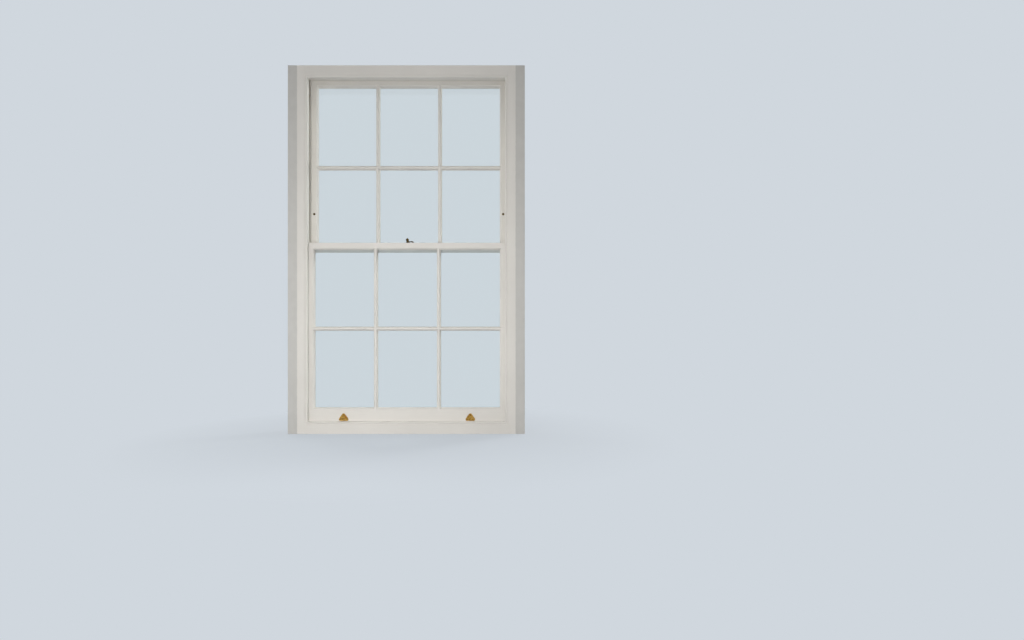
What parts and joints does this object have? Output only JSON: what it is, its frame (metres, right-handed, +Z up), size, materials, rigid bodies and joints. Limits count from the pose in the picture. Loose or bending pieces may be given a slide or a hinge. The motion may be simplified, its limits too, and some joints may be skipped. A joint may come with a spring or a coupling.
{
  "type": "sash window",
  "caption": "Box-frame sliding sash window, six panes over six, with beads, cords, pulleys, weights, hook lifts and a fastener on the meeting rails.",
  "frame": {"origin": "middle of the sill's underside", "axes": "+Z up, +Y to the outside, +X to the right as seen from the room"},
  "size_m": [1.252, 0.189, 1.948],
  "materials": {
    "frame_paint": "satin paint on pine",
    "sash_paint": "satin paint on pine",
    "painted_sill": "satin paint on oak",
    "bare_pine": "sawn pine, unpainted",
    "glass": "clear sheet glass",
    "putty": "painted linseed putty",
    "brass": "polished brass",
    "aged_brass": "browned brass",
    "screw_brass": "polished brass",
    "pulley_brass": "satin brass",
    "pulley_steel": "plain steel",
    "cast_iron": "raw casting",
    "cotton_cord": "braided waxed cotton"
  },
  "bodies": {
    "frame": {"back_lining_left": "bare_pine", "back_lining_right": "bare_pine", "cord_lower_left": "cotton_cord", "cord_lower_right": "cotton_cord", "cord_upper_left": "cotton_cord", "cord_upper_right": "cotton_cord", "frame_screws": "screw_brass", "head": "frame_paint", "inner_lining_head": "frame_paint", "inner_lining_left": "frame_paint", "inner_lining_right": "frame_paint", "outer_lining_head": "frame_paint", "outer_lining_left": "frame_paint", "outer_lining_right": "frame_paint", "parting_bead_left": "frame_paint", "parting_bead_right": "frame_paint", "parting_slips": "bare_pine", "pocket_pieces": "frame_paint", "pulley_cases_left": "pulley_brass", "pulley_cases_right": "pulley_brass", "pulley_pins": "pulley_steel", "pulley_stile_left": "frame_paint", "pulley_stile_right": "frame_paint", "sill": "painted_sill", "staff_bead_head": "frame_paint", "staff_bead_left": "frame_paint", "staff_bead_right": "frame_paint", "staff_bead_sill": "frame_paint"},
    "lower_sash": {"fastener_base": "aged_brass", "lower_bottom_rail": "sash_paint", "lower_cross_bars": "sash_paint", "lower_meeting_rail": "sash_paint", "lower_panes": "glass", "lower_putty": "putty", "lower_sash_screws": "screw_brass", "lower_stile_left": "sash_paint", "lower_stile_right": "sash_paint", "lower_vertical_bars": "sash_paint", "sash_lift_left": "brass", "sash_lift_right": "brass"},
    "upper_sash": {"fastener_keep": "aged_brass", "stop_sockets": "brass", "upper_cross_bars": "sash_paint", "upper_meeting_rail": "sash_paint", "upper_panes": "glass", "upper_putty": "putty", "upper_sash_screws": "screw_brass", "upper_stile_left": "sash_paint", "upper_stile_right": "sash_paint", "upper_top_rail": "sash_paint", "upper_vertical_bars": "sash_paint"},
    "fastener_lever": {"fastener_lever": "aged_brass"},
    "wheel_lower_left": {"pulley_wheel_lower_left": "pulley_brass"},
    "weight_lower_left": {"sash_weight_lower_left": "cast_iron"},
    "wheel_lower_right": {"pulley_wheel_lower_right": "pulley_brass"},
    "weight_lower_right": {"sash_weight_lower_right": "cast_iron"},
    "wheel_upper_left": {"pulley_wheel_upper_left": "pulley_brass"},
    "weight_upper_left": {"sash_weight_upper_left": "cast_iron"},
    "wheel_upper_right": {"pulley_wheel_upper_right": "pulley_brass"},
    "weight_upper_right": {"sash_weight_upper_right": "cast_iron"}
  },
  "joints": [
    {"name": "lower_sash_slide", "type": "slide", "parent": "frame", "child": "lower_sash", "axis": [0, 0, 1], "range_m": [0, 0.825], "deforming": ["cord_lower_left", "cord_lower_right"]},
    {"name": "upper_sash_slide", "type": "slide", "parent": "frame", "child": "upper_sash", "axis": [0, 0, 1], "range_m": [-0.89, 0], "deforming": ["cord_upper_left", "cord_upper_right"]},
    {"name": "fastener_turn", "type": "hinge", "parent": "lower_sash", "child": "fastener_lever", "pos_m": [0, -0.0343, 1.025], "axis": [0, 0, 1], "range_deg": [0, 90]},
    {"name": "wheel_lower_left_spin", "type": "hinge", "parent": "frame", "child": "wheel_lower_left", "pos_m": [-0.559, -0.0465, 1.809], "axis": [0, 1, 0], "continuous": true},
    {"name": "weight_lower_left_slide", "type": "slide", "parent": "frame", "child": "weight_lower_left", "axis": [0, 0, 1], "range_m": [-0.825, 0]},
    {"name": "wheel_lower_right_spin", "type": "hinge", "parent": "frame", "child": "wheel_lower_right", "pos_m": [0.559, -0.0465, 1.809], "axis": [0, 1, 0], "continuous": true},
    {"name": "weight_lower_right_slide", "type": "slide", "parent": "frame", "child": "weight_lower_right", "axis": [0, 0, 1], "range_m": [-0.825, 0]},
    {"name": "wheel_upper_left_spin", "type": "hinge", "parent": "frame", "child": "wheel_upper_left", "pos_m": [-0.559, 0.0095, 1.809], "axis": [0, 1, 0], "continuous": true},
    {"name": "weight_upper_left_slide", "type": "slide", "parent": "frame", "child": "weight_upper_left", "axis": [0, 0, 1], "range_m": [0, 0.89]},
    {"name": "wheel_upper_right_spin", "type": "hinge", "parent": "frame", "child": "wheel_upper_right", "pos_m": [0.559, 0.0095, 1.809], "axis": [0, 1, 0], "continuous": true},
    {"name": "weight_upper_right_slide", "type": "slide", "parent": "frame", "child": "weight_upper_right", "axis": [0, 0, 1], "range_m": [0, 0.89]}
  ],
  "couplings": [
    {"joint": "wheel_lower_left_spin", "follows": "lower_sash_slide", "rad_per_m": -38.462},
    {"joint": "weight_lower_left_slide", "follows": "lower_sash_slide", "ratio": -1},
    {"joint": "wheel_lower_right_spin", "follows": "lower_sash_slide", "rad_per_m": 38.462},
    {"joint": "weight_lower_right_slide", "follows": "lower_sash_slide", "ratio": -1},
    {"joint": "wheel_upper_left_spin", "follows": "upper_sash_slide", "rad_per_m": -38.462},
    {"joint": "weight_upper_left_slide", "follows": "upper_sash_slide", "ratio": -1},
    {"joint": "wheel_upper_right_spin", "follows": "upper_sash_slide", "rad_per_m": 38.462},
    {"joint": "weight_upper_right_slide", "follows": "upper_sash_slide", "ratio": -1}
  ]
}
